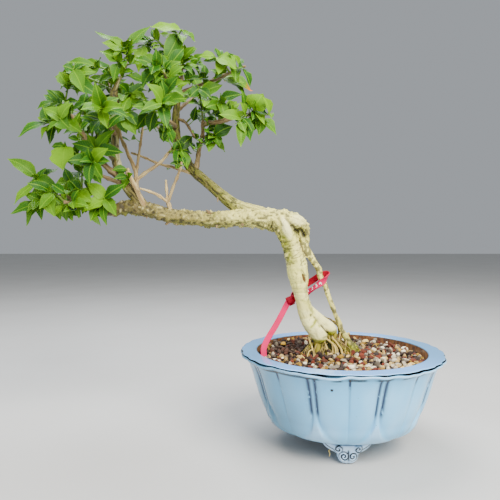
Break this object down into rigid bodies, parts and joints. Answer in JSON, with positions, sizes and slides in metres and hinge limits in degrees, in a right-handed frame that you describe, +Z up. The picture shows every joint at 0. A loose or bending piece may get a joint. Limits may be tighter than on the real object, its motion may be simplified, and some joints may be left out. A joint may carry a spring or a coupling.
{
  "type": "water jasmine bonsai",
  "caption": "Bonsai with a bare trunk bent to one side and a leafy crown beyond its round petalled glazed pot on scroll feet, with gravel mix, an aerial root and a strap tag.",
  "frame": {"origin": "middle of the whole object's box at table height", "axes": "+Z up; +X from the overhanging crown towards the pot; -Y is the side that the picture shows"},
  "size_m": [0.429, 0.202, 0.4207],
  "materials": {
    "blue_glaze": "gloss pale blue glaze, unglazed brown inside",
    "screen_mesh": "plain moulded mesh",
    "soil_mix": "loose mixed grains",
    "living_wood": "rough bark with moss",
    "tag_plastic": "satin pink-red",
    "leaf_mid_green": "half-gloss leaf",
    "leaf_lime_green": "half-gloss leaf",
    "leaf_deep_green": "half-gloss leaf"
  },
  "bodies": {
    "root": {"pot": "blue_glaze", "drain_screen": "screen_mesh", "soil": "soil_mix", "tree": "living_wood", "tag": "tag_plastic", "leaf_spray_01": "leaf_mid_green", "leaf_spray_02": "leaf_lime_green", "leaf_spray_03": "leaf_deep_green", "leaf_spray_04": "leaf_mid_green", "leaf_spray_05": "leaf_lime_green", "leaf_spray_06": "leaf_deep_green", "leaf_spray_07": "leaf_mid_green", "leaf_spray_08": "leaf_lime_green", "leaf_spray_09": "leaf_deep_green", "leaf_spray_10": "leaf_mid_green", "leaf_spray_11": "leaf_lime_green", "leaf_spray_12": "leaf_deep_green", "leaf_spray_13": "leaf_mid_green", "leaf_spray_14": "leaf_lime_green", "leaf_spray_15": "leaf_deep_green", "leaf_spray_16": "leaf_mid_green", "leaf_spray_17": "leaf_lime_green", "leaf_spray_18": "leaf_deep_green", "leaf_spray_19": "leaf_mid_green", "leaf_spray_20": "leaf_lime_green", "leaf_spray_21": "leaf_deep_green", "leaf_spray_22": "leaf_mid_green", "leaf_spray_23": "leaf_lime_green", "leaf_spray_24": "leaf_deep_green", "leaf_spray_25": "leaf_mid_green", "leaf_spray_26": "leaf_lime_green", "leaf_spray_27": "leaf_deep_green", "leaf_spray_28": "leaf_mid_green", "leaf_spray_29": "leaf_lime_green", "leaf_spray_30": "leaf_deep_green", "leaf_spray_31": "leaf_mid_green", "leaf_spray_32": "leaf_lime_green", "leaf_spray_33": "leaf_deep_green", "leaf_spray_34": "leaf_mid_green", "leaf_spray_35": "leaf_lime_green", "leaf_spray_36": "leaf_deep_green", "leaf_spray_37": "leaf_mid_green", "leaf_spray_38": "leaf_lime_green", "leaf_spray_39": "leaf_deep_green", "leaf_spray_40": "leaf_mid_green", "leaf_spray_41": "leaf_lime_green", "leaf_spray_42": "leaf_deep_green", "leaf_spray_43": "leaf_mid_green", "leaf_spray_44": "leaf_lime_green", "leaf_spray_45": "leaf_deep_green", "leaf_spray_46": "leaf_mid_green", "leaf_spray_47": "leaf_lime_green", "leaf_spray_48": "leaf_deep_green", "leaf_spray_49": "leaf_mid_green", "leaf_spray_50": "leaf_lime_green"}
  },
  "joints": []
}
